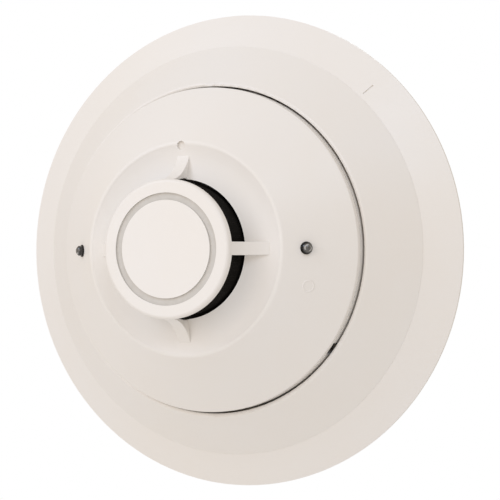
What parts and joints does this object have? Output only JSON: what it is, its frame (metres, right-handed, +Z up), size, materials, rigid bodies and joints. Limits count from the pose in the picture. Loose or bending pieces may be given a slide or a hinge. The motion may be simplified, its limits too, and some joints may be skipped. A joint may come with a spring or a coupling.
{
  "type": "heat detector",
  "caption": "Round plug-in heat detector in a flanged base: a convex head with a capped, screened sensing chamber on vanes, small indicator lights and a tool-release notch.",
  "frame": {"origin": "centre of the base's back face, on the surface it is screwed to", "axes": "the detector faces -Y with +Z up; +Y runs from its face into the wall or ceiling it is fixed to"},
  "size_m": [0.155, 0.0517, 0.155],
  "materials": {
    "housing": "warm white, fine moulded texture",
    "screen_mesh": "black woven insect mesh",
    "black_plastic": "black moulded plastic",
    "led_lens": "smoke-tinted clear lens, unlit",
    "contact_metal": "stamped spring brass",
    "steel": "zinc-plated steel",
    "tinned_wire": "tinned copper wire",
    "epoxy": "black epoxy drop",
    "board": "green solder mask",
    "chip_black": "moulded component body",
    "capacitor_can": "satin can",
    "reed_glass": "clear glass tube",
    "label_paper": "blank matt label",
    "switch_body": "dark blue moulded body",
    "dial": "white dial"
  },
  "bodies": {
    "base": {"base_shell": "housing", "terminal_screws": "steel", "terminal_clamps": "steel", "contact_clip_1": "contact_metal", "contact_clip_2": "contact_metal", "contact_clip_3": "contact_metal", "contact_clip_4": "contact_metal"},
    "head": {"front_cover": "housing", "head_back": "housing", "guard_screen": "screen_mesh", "chamber_floor": "black_plastic", "led_sleeve_left": "black_plastic", "led_sleeve_right": "black_plastic", "led_left": "led_lens", "led_right": "led_lens", "board_screws": "steel", "thermistor_bead": "epoxy", "thermistor_leads": "tinned_wire", "thermistor_post": "black_plastic", "circuit_board": "board", "microcontroller": "chip_black", "electrolytic_capacitors": "capacitor_can", "chip_resistors": "chip_black", "surge_suppressor": "chip_black", "reed_switch": "reed_glass", "rear_label": "label_paper", "dial_switch_tens": "switch_body", "dial_switch_ones": "switch_body", "contact_blade_1": "contact_metal", "contact_blade_2": "contact_metal", "contact_blade_3": "contact_metal", "contact_blade_4": "contact_metal"},
    "release_lever": {"tamper_lever": "housing"},
    "tens_dial": {"address_dial_tens": "dial"},
    "ones_dial": {"address_dial_ones": "dial"}
  },
  "joints": [
    {"name": "head_twist", "type": "hinge", "parent": "base", "child": "head", "pos_m": [0, 0, 0], "axis": [0, -1, 0], "range_deg": [0, 18]},
    {"name": "lever_press", "type": "hinge", "parent": "base", "child": "release_lever", "pos_m": [0.03111, -0.009, -0.03847], "axis": [-0.7986, 0, 0.6018], "range_deg": [0, 14], "stiffness_Nm_per_rad": 0.05},
    {"name": "tens_dial_turn", "type": "hinge", "parent": "head", "child": "tens_dial", "pos_m": [-0.0085, -0.014, 0], "axis": [0, -1, 0], "continuous": true},
    {"name": "ones_dial_turn", "type": "hinge", "parent": "head", "child": "ones_dial", "pos_m": [0.0085, -0.014, 0], "axis": [0, -1, 0], "continuous": true}
  ]
}
